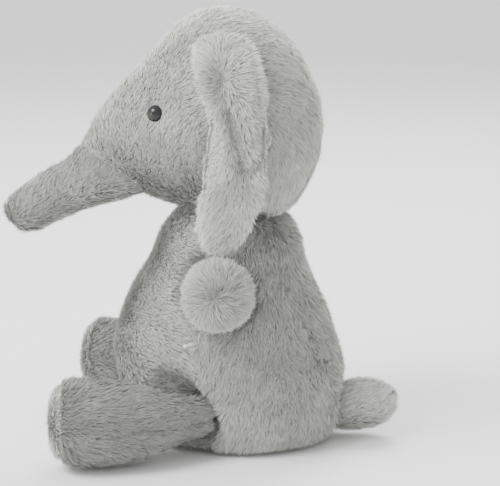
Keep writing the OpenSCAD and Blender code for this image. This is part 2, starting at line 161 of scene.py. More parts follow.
class CameraSettings(bpy.types.PropertyGroup):
    """Where the camera stands."""

    azimuth: bpy.props.FloatProperty(
        name="Azimuth", description="Angle round the toy, from its front",
        default=math.radians(93.0), unit="ROTATION")
    elevation: bpy.props.FloatProperty(
        name="Elevation", description="Angle above the floor",
        default=math.radians(12.0), unit="ROTATION")
    distance: bpy.props.FloatProperty(
        name="Distance", description="Distance from the toy", default=1.2, unit="LENGTH")
    lens: bpy.props.FloatProperty(
        name="Lens", description="Focal length in millimetres", default=135.0)


SETTINGS = {
    "plush_skin": SkinSettings,
    "plush_pile": PileSettings,
    "plush_colour": ColourSettings,
    "plush_camera": CameraSettings,
}


def settings(name):
    """One of the scene's groups of settings."""
    return getattr(bpy.context.scene, name)


# ---- Small helpers ----
def unit(v):
    """Each row of v, one unit long."""
    length = np.linalg.norm(v, axis=-1, keepdims=True)
    return v / np.maximum(length, 1e-12)


def smoothstep(low, high, x):
    """0 below low, 1 above high, and a smooth step between."""
    t = np.clip((x - low) / (high - low), 0.0, 1.0)
    return t * t * (3.0 - 2.0 * t)


def soft_noise(points, cell, seed):
    """Smooth noise from -1 to 1 with features about one cell wide."""
    rng = np.random.default_rng(seed)
    size = 32
    lattice = rng.uniform(-1.0, 1.0, (size, size, size))
    p = points / cell
    base = np.floor(p).astype(int)
    f = p - base
    f = f * f * (3.0 - 2.0 * f)
    total = np.zeros(len(points))
    for dx in (0, 1):
        for dy in (0, 1):
            for dz in (0, 1):
                i, j, k = ((base[:, n] + d) % size for n, d in enumerate((dx, dy, dz)))
                corner = lattice[i, j, k]
                wx = f[:, 0] if dx else 1.0 - f[:, 0]
                wy = f[:, 1] if dy else 1.0 - f[:, 1]
                wz = f[:, 2] if dz else 1.0 - f[:, 2]
                total += corner * wx * wy * wz
    return total


def noise_vector(points, cell, seed):
    """Smooth noise with three parts."""
    return np.stack([soft_noise(points, cell, seed + k) for k in range(3)], axis=1)


def new_object(name, mesh):
    """A mesh object in the scene."""
    obj = bpy.data.objects.new(name, mesh)
    bpy.context.scene.collection.objects.link(obj)
    return obj


def mesh_points(mesh):
    """The mesh's points as an array."""
    points = np.empty(len(mesh.vertices) * 3)
    mesh.vertices.foreach_get("co", points)
    return points.reshape(-1, 3)


def set_mesh_points(mesh, points):
    """Moves the mesh's points."""
    mesh.vertices.foreach_set("co", points.ravel())
    mesh.update()


def point_normals(mesh):
    """The mesh's smooth normals at its points."""
    normals = np.empty(len(mesh.vertices) * 3)
    mesh.vertex_normals.foreach_get("vector", normals)
    return normals.reshape(-1, 3)


def mesh_edges(mesh):
    """The mesh's edges as pairs of point numbers."""
    edges = np.empty(len(mesh.edges) * 2, dtype=np.int32)
    mesh.edges.foreach_get("vertices", edges)
    return edges.reshape(-1, 2)


def neighbour_mean(values, edges, count):
    """The mean of each point's neighbours."""
    total = np.zeros((count,) + values.shape[1:])
    number = np.zeros(count)
    for a, b in ((0, 1), (1, 0)):
        np.add.at(total, edges[:, a], values[edges[:, b]])
        np.add.at(number, edges[:, a], 1.0)
    number = np.maximum(number, 1.0)
    return total / (number if values.ndim == 1 else number[:, None])


def relaxed(values, edges, steps, strength=0.5):
    """Values evened out over the mesh."""
    for _ in range(steps):
        values = values + strength * (neighbour_mean(values, edges, len(values)) - values)
    return values


def apply_modifiers(obj):
    """Replaces obj's mesh with the result of its modifiers."""
    graph = bpy.context.evaluated_depsgraph_get()
    mesh = bpy.data.meshes.new_from_object(obj.evaluated_get(graph))
    obj.modifiers.clear()
    old = obj.data
    obj.data = mesh
    bpy.data.meshes.remove(old)


def largest_shell(mesh):
    """Keeps only the mesh's largest connected shell."""
    bm = bmesh.new()
    bm.from_mesh(mesh)
    bm.verts.ensure_lookup_table()
    seen = np.zeros(len(bm.verts), dtype=bool)
    shells = []
    for start in bm.verts:
        if seen[start.index]:
            continue
        seen[start.index] = True
        stack, shell = [start], []
        while stack:
            v = stack.pop()
            shell.append(v)
            for e in v.link_edges:
                other = e.other_vert(v)
                if not seen[other.index]:
                    seen[other.index] = True
                    stack.append(other)
        shells.append(shell)
    shells.sort(key=len)
    for shell in shells[:-1]:
        for v in shell:
            bm.verts.remove(v)
    bm.to_mesh(mesh)
    bm.free()


# ---- Shader node groups and materials ----
def group_socket(group, name, direction, kind, default=None):
    """Adds a named input or output to a node group."""
    socket = group.interface.new_socket(name=name, in_out=direction, socket_type=kind)
    if default is not None:
        socket.default_value = default


def strand_colour_group():
    """Colour along a lock of pile, darker at its root, from the lock's own shade."""
    name = "Strand Colour"
    if name in bpy.data.node_groups:
        return bpy.data.node_groups[name]
    group = bpy.data.node_groups.new(name, "ShaderNodeTree")
    group_socket(group, "Root", "INPUT", "NodeSocketColor", (0.2, 0.2, 0.2, 1.0))
    group_socket(group, "Tip", "INPUT", "NodeSocketColor", (0.6, 0.6, 0.6, 1.0))
    group_socket(group, "Shade Range", "INPUT", "NodeSocketFloat", 0.35)
    group_socket(group, "Color", "OUTPUT", "NodeSocketColor")
    nodes, links = group.nodes, group.links
    inputs = nodes.new("NodeGroupInput")
    outputs = nodes.new("NodeGroupOutput")
    uv = nodes.new("ShaderNodeUVMap")
    uv.uv_map = BAKE_UV
    split = nodes.new("ShaderNodeSeparateXYZ")
    links.new(uv.outputs["UV"], split.inputs[0])
    along = nodes.new("ShaderNodeMapRange")
    along.interpolation_type = "SMOOTHSTEP"
    along.inputs["From Min"].default_value = 0.02
    along.inputs["From Max"].default_value = 0.85
    links.new(split.outputs["Y"], along.inputs["Value"])
    blend = nodes.new("ShaderNodeMix")
    blend.data_type = "RGBA"
    links.new(along.outputs["Result"], blend.inputs["Factor"])
    links.new(inputs.outputs["Root"], blend.inputs["A"])
    links.new(inputs.outputs["Tip"], blend.inputs["B"])
    streak = nodes.new("ShaderNodeTexNoise")
    streak.inputs["Scale"].default_value = 9.0
    streak.inputs["Detail"].default_value = 2.0
    links.new(uv.outputs["UV"], streak.inputs["Vector"])
    wander = nodes.new("ShaderNodeMath")
    wander.operation = "MULTIPLY_ADD"
    wander.inputs[1].default_value = 0.3
    links.new(streak.outputs["Fac"], wander.inputs[0])
    links.new(split.outputs["X"], wander.inputs[2])
    centred = nodes.new("ShaderNodeMath")
    centred.operation = "SUBTRACT"
    centred.inputs[1].default_value = 0.65
    links.new(wander.outputs[0], centred.inputs[0])
    gain = nodes.new("ShaderNodeMath")
    gain.operation = "MULTIPLY_ADD"
    gain.inputs[2].default_value = 1.0
    links.new(centred.outputs[0], gain.inputs[0])
    links.new(inputs.outputs["Shade Range"], gain.inputs[1])
    shaded = nodes.new("ShaderNodeVectorMath")
    shaded.operation = "SCALE"
    links.new(blend.outputs["Result"], shaded.inputs[0])
    links.new(gain.outputs[0], shaded.inputs["Scale"])
    links.new(shaded.outputs[0], outputs.inputs["Color"])
    return group


def mottle_group():
    """Two colours mottled over the surface, with a height for bump."""
    name = "Mottle"
    if name in bpy.data.node_groups:
        return bpy.data.node_groups[name]
    group = bpy.data.node_groups.new(name, "ShaderNodeTree")
    group_socket(group, "Dark", "INPUT", "NodeSocketColor", (0.1, 0.1, 0.1, 1.0))
    group_socket(group, "Light", "INPUT", "NodeSocketColor", (0.3, 0.3, 0.3, 1.0))
    group_socket(group, "Scale", "INPUT", "NodeSocketFloat", 400.0)
    group_socket(group, "Color", "OUTPUT", "NodeSocketColor")
    group_socket(group, "Height", "OUTPUT", "NodeSocketFloat")
    nodes, links = group.nodes, group.links
    inputs = nodes.new("NodeGroupInput")
    outputs = nodes.new("NodeGroupOutput")
    place = nodes.new("ShaderNodeTexCoord")
    fine = nodes.new("ShaderNodeTexNoise")
    fine.inputs["Detail"].default_value = 4.0
    links.new(place.outputs["Object"], fine.inputs["Vector"])
    links.new(inputs.outputs["Scale"], fine.inputs["Scale"])
    ramp = nodes.new("ShaderNodeMapRange")
    ramp.inputs["From Min"].default_value = 0.3
    ramp.inputs["From Max"].default_value = 0.7
    links.new(fine.outputs["Fac"], ramp.inputs["Value"])
    blend = nodes.new("ShaderNodeMix")
    blend.data_type = "RGBA"
    links.new(ramp.outputs["Result"], blend.inputs["Factor"])
    links.new(inputs.outputs["Dark"], blend.inputs["A"])
    links.new(inputs.outputs["Light"], blend.inputs["B"])
    links.new(blend.outputs["Result"], outputs.inputs["Color"])
    links.new(fine.outputs["Fac"], outputs.inputs["Height"])
    return group


def new_material(name):
    """A material with an empty Principled shader, and its nodes, links and shader."""
    material = bpy.data.materials.new(name)
    material.use_nodes = True
    nodes, links = material.node_tree.nodes, material.node_tree.links
    return material, nodes, links, nodes["Principled BSDF"]


def rgba(colour):
    """A colour with its alpha."""
    return (*colour, 1.0)


def pile_material(name, root, tip, shade_range=0.9):
    """Soft pile, darker at its roots."""
    if name in bpy.data.materials:
        return bpy.data.materials[name]
    material, nodes, links, shader = new_material(name)
    strand = nodes.new("ShaderNodeGroup")
    strand.node_tree = strand_colour_group()
    strand.inputs["Root"].default_value = rgba(root)
    strand.inputs["Tip"].default_value = rgba(tip)
    strand.inputs["Shade Range"].default_value = shade_range
    links.new(strand.outputs["Color"], shader.inputs["Base Color"])
    shader.inputs["Roughness"].default_value = 0.75
    shader.inputs["Specular IOR Level"].default_value = 0.25
    shader.inputs["Sheen Weight"].default_value = 0.5
    shader.inputs["Sheen Roughness"].default_value = 0.4
    return material


def add_mottle(nodes, links, shader, dark, light, scale):
    """Colours a shader with the mottle group, and returns the group's node."""
    mottle = nodes.new("ShaderNodeGroup")
    mottle.node_tree = mottle_group()
    mottle.inputs["Dark"].default_value = rgba(dark)
    mottle.inputs["Light"].default_value = rgba(light)
    mottle.inputs["Scale"].default_value = scale
    links.new(mottle.outputs["Color"], shader.inputs["Base Color"])
    return mottle


def mottled_material(name, dark, light, scale, roughness, bump=0.0):
    """A matt material mottled between two colours."""
    if name in bpy.data.materials:
        return bpy.data.materials[name]
    material, nodes, links, shader = new_material(name)
    mottle = add_mottle(nodes, links, shader, dark, light, scale)
    shader.inputs["Roughness"].default_value = roughness
    if bump:
        raised = nodes.new("ShaderNodeBump")
        raised.inputs["Strength"].default_value = bump
        raised.inputs["Distance"].default_value = 0.5 * MM
        links.new(mottle.outputs["Height"], raised.inputs["Height"])
        links.new(raised.outputs["Normal"], shader.inputs["Normal"])
    return material


def backing_material():
    """The fabric's knitted backing with the dense roots of its pile."""
    root = settings("plush_colour").root
    dark = [1.05 * c for c in root]
    return mottled_material("Plush Backing", dark, root, 900.0, 0.95, bump=0.6)


# ---- Stuffed skins ----
def skin_from_nodes(name, nodes, voxel, inset, swell=True, fillets=()):
    """One closed stuffed skin round the outside of the named CAD nodes and any round fillets."""
    bm = bmesh.new()
    for node in nodes:
        bm.from_mesh(frame["nodes"][node].data)
    for centre, radii in fillets:
        place = Matrix.Translation(centre) @ Matrix.Diagonal((*radii, 1.0))
        bmesh.ops.create_icosphere(bm, subdivisions=3, radius=1.0, matrix=place)
    mesh = bpy.data.meshes.new(name)
    bm.to_mesh(mesh)
    bm.free()
    obj = new_object(name, mesh)
    remesh = obj.modifiers.new("Remesh", "REMESH")
    remesh.mode = "VOXEL"
    remesh.voxel_size = voxel
    apply_modifiers(obj)
    largest_shell(obj.data)
    edges = mesh_edges(obj.data)
    points = relaxed(mesh_points(obj.data), edges, 6)
    set_mesh_points(obj.data, points)
    steps = 3
    for _ in range(steps):
        points = mesh_points(obj.data)
        depth = inset(points)[:, None] if callable(inset) else inset
        points = points - point_normals(obj.data) * depth / steps
        set_mesh_points(obj.data, relaxed(points, edges, 1))
    if swell:
        swell_with_stuffing(obj)
    rounder = obj.modifiers.new("Round", "SUBSURF")
    rounder.levels = 1
    rounder.render_levels = 1
    apply_modifiers(obj)
    obj.data.polygons.foreach_set("use_smooth", np.ones(len(obj.data.polygons), dtype=bool))
    if len(obj.data.vertices) < FEWEST_SKIN_POINTS:
        raise RuntimeError(f"the skin {name} came out empty")
    return obj


def swell_with_stuffing(obj):
    """Lets a cloth simulation push the fabric out, no further than the limit."""
    skin = settings("plush_skin")
    before = mesh_points(obj.data)
    cloth = obj.modifiers.new("Cloth", "CLOTH")
    cloth.settings.quality = 5
    cloth.settings.use_pressure = True
    cloth.settings.uniform_pressure_force = skin.pressure
    cloth.settings.effector_weights.gravity = 0.0
    cloth.settings.tension_stiffness = 20.0
    cloth.settings.compression_stiffness = 20.0
    cloth.settings.bending_stiffness = 0.5
    cloth.collision_settings.use_collision = False
    scene = bpy.context.scene
    last_frame = 20
    cloth.point_cache.frame_start = 1
    cloth.point_cache.frame_end = last_frame
    for number in range(1, last_frame + 1):
        scene.frame_set(number)
    graph = bpy.context.evaluated_depsgraph_get()
    after = mesh_points(obj.evaluated_get(graph).data)
    obj.modifiers.clear()
    scene.frame_set(1)
    move = after - before
    length = np.linalg.norm(move, axis=1, keepdims=True)
    move *= np.minimum(1.0, skin.swell_limit / np.maximum(length, 1e-9))
    set_mesh_points(obj.data, before + move)


def node_tree(node):
    """A search tree over one CAD node's surface."""
    mesh = frame["nodes"][node].data
    corners = [tuple(p.vertices) for p in mesh.polygons]
    return BVHTree.FromPolygons([v.co for v in mesh.vertices], corners)


def panel_of_points(points, panels):
    """For each point, the number of the panel that lies nearest."""
    best = np.full(len(points), np.inf)
    owner = np.zeros(len(points), dtype=int)
    for number, panel in enumerate(panels):
        tree = node_tree(panel)
        near = np.array([tree.find_nearest(Vector(p))[3] for p in points])
        closer = near < best
        best[closer] = near[closer]
        owner[closer] = number
    return owner


def pull_in_seams(obj, owner, depth, spread=3):
    """Pulls the skin in where panels meet, and returns how near each point is to a seam."""
    edges = mesh_edges(obj.data)
    seam = np.zeros(len(owner))
    crossing = owner[edges[:, 0]] != owner[edges[:, 1]]
    seam[edges[crossing].ravel()] = 1.0
    near = seam.copy()
    for _ in range(spread):
        near = np.maximum(near * 0.999, 0.72 * neighbour_mean(near, edges, len(near)) + 0.28 * near)
    near = np.clip(near, 0.0, 1.0)
    points = mesh_points(obj.data) - point_normals(obj.data) * (depth * near)[:, None]
    set_mesh_points(obj.data, points)
    return near


# ---- Pile ----
def skin_samples(obj, rng, faces, per_square_metre):
    """Random roots on the chosen triangles, with their normals, triangles and weights."""
    mesh = obj.data
    mesh.calc_loop_triangles()
    triangles = np.empty(len(mesh.loop_triangles) * 3, dtype=np.int32)
    mesh.loop_triangles.foreach_get("vertices", triangles)
    triangles = triangles.reshape(-1, 3)
    triangles = triangles[faces(triangles)]
    points, normals = mesh_points(mesh), point_normals(mesh)
    a, b, c = (points[triangles[:, k]] for k in range(3))
    area = 0.5 * np.linalg.norm(np.cross(b - a, c - a), axis=1)
    count = int(area.sum() * per_square_metre)
    pick = rng.choice(len(triangles), size=count, p=area / area.sum())
    r1, r2 = np.sqrt(rng.random(count)), rng.random(count)
    weights = np.stack([1.0 - r1, r1 * (1.0 - r2), r1 * r2], axis=1)
    corners = triangles[pick]
    roots = np.einsum("nk,nkd->nd", weights, points[corners])
    root_normals = unit(np.einsum("nk,nkd->nd", weights, normals[corners]))
    return roots, root_normals, corners, weights


def gathered(tips, roots, clump_size, strength, rng):
    """Draws the tips of neighbouring locks together into tufts."""
    count = max(1, len(roots) // clump_size)
    leaders = rng.choice(len(roots), size=count, replace=False)
    tree = KDTree(count)
    for k, leader in enumerate(leaders):
        tree.insert(Vector(roots[leader]), k)
    tree.balance()
    nearest = np.array([tree.find(Vector(p))[1] for p in roots])
    leader = leaders[nearest]
    amount = strength * rng.uniform(0.3, 1.0, len(roots))[:, None]
    return tips + amount * ((tips[leader] - roots[leader]) + 0.55 * roots[leader] + 0.45 * roots - tips)


class Pile:
    """Locks of pile for one panel: how they lie, how long they are and how they are shaded."""

    def __init__(self, comb, length=1.0, lift=0.5, density=1.0, shade=0.5, wild=0.35, clump=1.0):
        self.comb = comb
        self.length = length
        self.lift = lift
        self.density = density
        self.shade = shade
        self.wild = wild
        self.clump = clump


def grow_pile(name, skin, pile, material, seed, faces, seam, trim=None, painted_light=None):
    """Tapered, curved locks of pile on part of a skin, as meshes of a limited size from the bottom up."""
    pile_set = settings("plush_pile")
    rng = np.random.default_rng(seed)
    quick_share = 1.0
    density = pile_set.per_square_cm * 1e4 * pile.density * quick_share
    roots, normals, corners, weights = skin_samples(skin, rng, faces, density)
    order = np.argsort(roots[:, 2])
    roots, normals, corners, weights = (a[order] for a in (roots, normals, corners, weights))
    count = len(roots)
    near_seam = np.einsum("nk,nk->n", weights, seam[corners])

    lie = pile.comb(roots, normals)
    lie = unit(lie - (lie * normals).sum(1, keepdims=True) * normals)
    drift = noise_vector(roots, 14.0 * MM, seed + 11) + noise_vector(roots, 4.5 * MM, seed + 23)
    lie = lie + pile.wild * drift + 0.5 * pile.wild * rng.normal(size=(count, 3))
    lie = unit(lie - (lie * normals).sum(1, keepdims=True) * normals)

    length = pile_set.length * pile.length * rng.uniform(0.72, 1.12, count)
    length *= 1.0 + 0.18 * soft_noise(roots, 9.0 * MM, seed + 31)
    length *= 1.0 - 0.42 * near_seam
    if trim is not None:
        length *= trim(roots, normals)
    lift = pile.lift * (1.0 + 0.3 * rng.normal(size=count)) * (1.0 - 0.25 * near_seam)
    lift = np.clip(lift, 0.12, 0.95)[:, None]
    tips = roots + (normals * lift + lie * np.sqrt(1.0 - lift**2)) * length[:, None]
    locks_in_tuft = 9
    tips = gathered(tips, roots, locks_in_tuft, pile_set.clump * pile.clump, rng)
    reach = tips - roots
    height = np.maximum((reach * normals).sum(1, keepdims=True), 0.15 * length[:, None])

    across = unit(np.cross(normals, reach))
    roll = rng.uniform(-0.9, 0.9, count)[:, None]
    across = np.cos(roll) * across + np.sin(roll) * normals
    width = pile_set.width * rng.uniform(0.7, 1.25, count)[:, None]
    if quick_share < 1.0:
        width /= math.sqrt(quick_share)

    points = np.empty((count, STRAND_POINTS, 3))
    steps = np.linspace(0.0, 1.0, STRAND_ROWS)
    for row, s in enumerate(steps):
        bulge = 0.55 * s * (1.0 - s)
        centre = roots - normals * 0.3 * MM + reach * s + normals * height * bulge
        half = 0.5 * width * (1.0 - s) ** 0.6
        if row < STRAND_ROWS - 1:
            points[:, 2 * row] = centre - across * half
            points[:, 2 * row + 1] = centre + across * half
        else:
            points[:, 2 * row] = centre
    above_floor = 0.15 * MM
    points[:, :, 2] = np.maximum(points[:, :, 2], above_floor)
    facing = unit(np.cross(reach, across))
    facing *= np.sign((facing * normals).sum(1, keepdims=True) + 1e-9)
    blade = unit(0.4 * normals + 0.6 * facing)

    shade = pile.shade + 0.16 * soft_noise(roots, 16.0 * MM, seed + 41)
    shade = shade + 0.12 * soft_noise(roots, 4.0 * MM, seed + 43)
    # Locks near a seam are darker: painted shade in the seam's crease.
    shade = shade + 0.13 * rng.normal(size=count) - 0.22 * near_seam
    # Painted light added to the locks' shade, such as the ear's painted shade and painted rim light.
    if painted_light is not None:
        shade = shade + painted_light(roots, normals)
    shade = np.clip(shade, 0.03, 0.97)

    made = []
    pieces = max(1, math.ceil(count / MOST_STRANDS))
    for number, rows in enumerate(np.array_split(np.arange(count), pieces)):
        piece_name = name if pieces == 1 else f"{name}_{number + 1}"
        mesh = strand_mesh(piece_name, points[rows].reshape(-1, 3), len(rows), shade[rows], steps)
        mesh.normals_split_custom_set_from_vertices(np.repeat(blade[rows], STRAND_POINTS, axis=0))
        mesh.materials.append(material)
        made.append(new_object(piece_name, mesh))
    return made


def strand_mesh(name, points, count, shade, steps):
    """The locks' faces, each of strips and a tip, with a UV of shade and distance along."""
    first = np.arange(count)[:, None] * STRAND_POINTS
    strips = STRAND_ROWS - 2
    quads = [first + np.array([[2 * k + 1, 2 * k, 2 * k + 2, 2 * k + 3]]) for k in range(strips)]
    tip = first + np.array([[2 * strips + 1, 2 * strips, 2 * strips + 2]])
    corners = np.concatenate(quads + [tip], axis=1).ravel()
    per_strand = [4] * strips + [3]
    sizes = np.tile(per_strand, count)
    starts = np.concatenate([[0], np.cumsum(sizes)[:-1]])
    mesh = bpy.data.meshes.new(name)
    mesh.vertices.add(len(points))
    mesh.vertices.foreach_set("co", points.ravel())
    mesh.loops.add(len(corners))
    mesh.loops.foreach_set("vertex_index", corners.astype(np.int32))
    mesh.polygons.add(len(sizes))
    mesh.polygons.foreach_set("loop_start", starts.astype(np.int32))
    mesh.polygons.foreach_set("loop_total", sizes.astype(np.int32))
    mesh.polygons.foreach_set("use_smooth", np.ones(len(sizes), dtype=bool))
    layer = mesh.uv_layers.new(name=BAKE_UV)
    local = corners % STRAND_POINTS
    strand = corners // STRAND_POINTS
    row = local // 2
    side = np.where(local == STRAND_POINTS - 1, 0.0, np.where(local % 2 == 0, -1.0, 1.0))
    u = shade[strand] + 0.01 * side
    v = 0.02 + 0.96 * steps[row]
    layer.data.foreach_set("uv", np.stack([u, v], axis=1).ravel())
    mesh.update(calc_edges=True)
    mesh.validate(clean_customdata=False)
    return mesh


# ---- Directions that the pile is combed in ----
def towards(*direction):
    """Pile combed one way."""
    d = unit(np.array(direction, dtype=float))
    return lambda points, normals: np.tile(d, (len(points), 1))


def out_from_front(points, normals):
    """Across the belly, from its middle line round to the side seams."""
    side = np.tanh(points[:, :1] / 0.008)
    return side * SIDEWAYS * 0.7 + BACKWARDS - 0.12 * UP


def round_the_head(points, normals):
    """Up the face, back over the crown and down the nape."""
    centre = head_centre()
    v = points - centre
    around = unit(np.stack([np.zeros(len(v)), v[:, 2], -v[:, 1]], axis=1))
    return around + 0.9 * BACKWARDS


def head_centre():
    """The point at the head's side that the pile is combed round, under the ear."""
    low, high = corners_of("head_stuffing")
    size = high - low
    return np.array([0.0, low[1] + 0.62 * size[1], low[2] + 0.45 * size[2]])


def from_tip(tip, axis, spread=0.7):
    """From a limb's round end back towards its root, spreading out from the middle of the end."""
    tip, axis = np.array(tip), unit(np.array(axis))

    def comb(points, normals):
        v = points - tip
        radial = v - (v @ axis)[:, None] * axis
        return spread * unit(radial) - axis

    return comb


def down_the_ear(points, normals):
    """In a fan round the top of the ear's fold, then down the ear and out from its groove."""
    fold = groove_top()
    rel = points - fold
    fan = unit(rel * np.array([0.0, 1.0, 1.0]))
    side = np.clip((points[:, 1] - groove_line(points)) / (8.0 * MM), -1.0, 1.0)
    return fan + (0.75 * side)[:, None] * BACKWARDS


def groove_top():
    """Where the ear's groove starts, under the fold at its root."""
    low, high = ear_span()
    size = high - low
    return np.array([0.0, low[1] + 0.4 * size[1], low[2] + 0.8 * size[2]])


def groove_line(points):
    """How far back the groove runs at each point's height."""
    low, high = ear_span()
    down = (groove_top()[2] - points[:, 2]) / (high[2] - low[2])
    return groove_top()[1] + np.clip(down, -0.1, 0.45) * 0.71 * (high[1] - low[1])


def ear_span():
    """The ear's lowest and highest corners."""
    return corners_of("ear_outer_left")


# ---- Building one sewn body ----
def shallow_at_neck(depth):
    """The pile's depth, but next to nothing on the two round faces that turn at the neck."""
    pivot = joint_at("head_turn")
    ball_r = corners_of("neck_stuffing")[1][2] - pivot[2]

    def at(points):
        away = np.linalg.norm(points - pivot, axis=1)
        face = 1.0 - smoothstep(1.0 * MM, 7.0 * MM, np.abs(away - ball_r + 1.0 * MM))
        above = smoothstep(0.1 * ball_r, 0.4 * ball_r, points[:, 2] - pivot[2])
        return depth * (1.0 - 0.85 * face * above)

    return at


def corners_of(node):
    """A CAD node's lowest and highest corners."""
    return tuple(np.array(c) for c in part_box(node))


def joint_at(name):
    """Where a joint's axis passes, in metres."""
    for joint in frame["joints"]:
        if joint["name"] == name:
            return np.array(joint["pos_m"], dtype=float)
    raise RuntimeError(f"the frame has no joint named {name}")


def owner_mask(owner, number):
    """Picks the triangles whose points mostly belong to one panel."""
    return lambda triangles: (owner[triangles] == number).sum(axis=1) >= 2


def dress(skin, body, panels, stuffing, seed, seam_depth, seam_show=1.0, bend=None, trim=None,
          painted_light=None, claim=None):
    """Puts a skin's seams and pile on, and hangs the pieces on their body, or bakes their place into
    their meshes when a bend is given.
    """
    owner = panel_of_points(mesh_points(skin.data), [p[0] for p in panels])
    if claim is not None:
        owner = claim(mesh_points(skin.data), owner)
    # seam_show scales how much the seams shorten the pile and how much painted shade they put on it.
    near = pull_in_seams(skin, owner, seam_depth) * seam_show
    skin.data.materials.clear()
    skin.data.materials.append(backing_material())
    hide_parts(*stuffing)
    pieces = [skin]
    for number, (node, pile, material) in enumerate(panels):
        for fur in grow_pile(node + "_pile", skin, pile, material, seed + 100 * number,
                             owner_mask(owner, number), near, trim, painted_light):
            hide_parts(node)
            pieces.append(fur)
    for piece in pieces:
        if bend is None:
            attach(piece, body)
        else:
            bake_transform(piece)


def across_joint(parent, child, root, start, end):
    """The parent, the child and two points near a joint, from offsets in millimetres from its root."""
    return (parent, child, *(tuple(root + np.array(offset) * MM) for offset in (start, end)))


def side_seed(part, side):
    """A seed of its own for each of a pair."""
    return SEEDS[part] + int(10 * side)


def grey_pile():
    """The pile on most of the toy."""
    colour = settings("plush_colour")
    return pile_material("Grey Plush", colour.root, colour.tip)


def pale_pile():
    """The paler pile of the ears, the head's top and the soles; on the ears and the head's top it is
    partly painted light from above.
    """
    colour = settings("plush_colour")
    return pile_material("Pale Plush", [1.3 * c for c in colour.root], colour.pale_tip, shade_range=0.8)


# ---- Operators ----
class PLUSH_OT_stage(bpy.types.Operator):
    """Set the camera, the soft light and the pale floor"""

    bl_idname = "plush.stage"
    bl_label = "Camera, Light and Floor"

    def execute(self, context):
        add_camera()
        add_light()
        add_floor()
        return {"FINISHED"}


def add_camera():
    """The camera, level with the toy's left side."""
    view = settings("plush_camera")
    low, high = (np.array(c) for c in cad_box)
    behind_middle = 32.0 * MM
    height_share = 0.455
    target = Vector((0.0, 0.5 * (low[1] + high[1]) + behind_middle, height_share * high[2]))
    away = Vector((math.sin(view.azimuth) * math.cos(view.elevation),
                   -math.cos(view.azimuth) * math.cos(view.elevation), math.sin(view.elevation)))
    data = bpy.data.cameras.new("Camera")
    data.lens = view.lens
    data.clip_start = 0.05
    camera = bpy.data.objects.new("Camera", data)
    bpy.context.scene.collection.objects.link(camera)
    camera.location = target + away * view.distance
    camera.rotation_euler = away.to_track_quat("Z", "Y").to_euler()
    bpy.context.scene.camera = camera


def add_area_light(name, place, aim, size, power):
    """A large soft light."""
    data = bpy.data.lights.new(name, "AREA")
    data.shape = "DISK"
    data.size = size
    data.energy = power
    light = bpy.data.objects.new(name, data)
    bpy.context.scene.collection.objects.link(light)
    light.location = place
    light.rotation_euler = (Vector(place) - Vector(aim)).to_track_quat("Z", "Y").to_euler()


def add_light():
    """A bright even studio, lighter from above and a little from the front."""
    middle = (0.0, 0.0, 0.15)
    for name, place, size, power in LIGHTS:
        add_area_light(name, place, middle, size, power)
    world = bpy.context.scene.world or bpy.data.worlds.new("Studio")
    bpy.context.scene.world = world
    world.use_nodes = True
    background = world.node_tree.nodes["Background"]
    background.inputs["Color"].default_value = (1.0, 1.0, 1.0, 1.0)
    background.inputs["Strength"].default_value = 1.25


def add_floor():
    """A wide pale floor that curves up behind the toy."""
    depth, rise, bend, steps = 3.0, 2.0, 0.8, 12
    near_edge, half = 1.6, 3.0
    profile = [(near_edge, 0.0), (-depth + bend, 0.0)]
    profile += [(-depth + bend - bend * math.sin(a), bend - bend * math.cos(a))
                for a in (math.pi / 2 * k / steps for k in range(1, steps + 1))]
    profile.append((-depth, rise))
    bm = bmesh.new()
    rows = [[bm.verts.new((x, side * half, z)) for side in (-1, 1)] for x, z in profile]
    for a, b in zip(rows, rows[1:]):
        bm.faces.new((a[0], a[1], b[1], b[0]))
    mesh = bpy.data.meshes.new("Floor")
    bm.to_mesh(mesh)
    bm.free()
    floor = new_object("Floor", mesh)
    colour = settings("plush_colour").floor
    shaded = [0.99 * c for c in colour]
    floor.data.materials.append(mottled_material("Floor", shaded, colour, 3.0, 0.9))
    for polygon in mesh.polygons:
        polygon.use_smooth = True


class PLUSH_OT_body(bpy.types.Operator):
    """Make the stuffed body with its belly, back and seat panels"""

    bl_idname = "plush.body"
    bl_label = "Body"

    def execute(self, context):
        skin_set = settings("plush_skin")
        nodes = ["belly_panel", "back_panel_left", "back_panel_right", "base_panel", "body_stuffing"]
        inset = shallow_at_neck(skin_set.pile_depth)
        skin = skin_from_nodes("body_backing", nodes, skin_set.voxel, inset)
        # The belly's pale shade is partly painted light, lifting the shade under the head.
        belly = Pile(out_from_front, length=0.8, lift=0.42, shade=0.72, wild=0.28, clump=0.8)
        back = Pile(towards(0.0, -0.3, -1.0), length=0.95, lift=0.5, shade=0.46, wild=0.5, clump=1.0)
        seat = Pile(towards(0.0, 1.0, 0.0), length=0.3, lift=0.15, density=0.5, shade=0.4)
        grey = grey_pile()
        panels = [("belly_panel", belly, grey), ("back_panel_left", back, grey),
                  ("back_panel_right", back, grey), ("base_panel", seat, grey)]
        dress(skin, "torso", panels, ["body_stuffing"], SEEDS["body"], skin_set.seam_depth, 0.35)
        return {"FINISHED"}


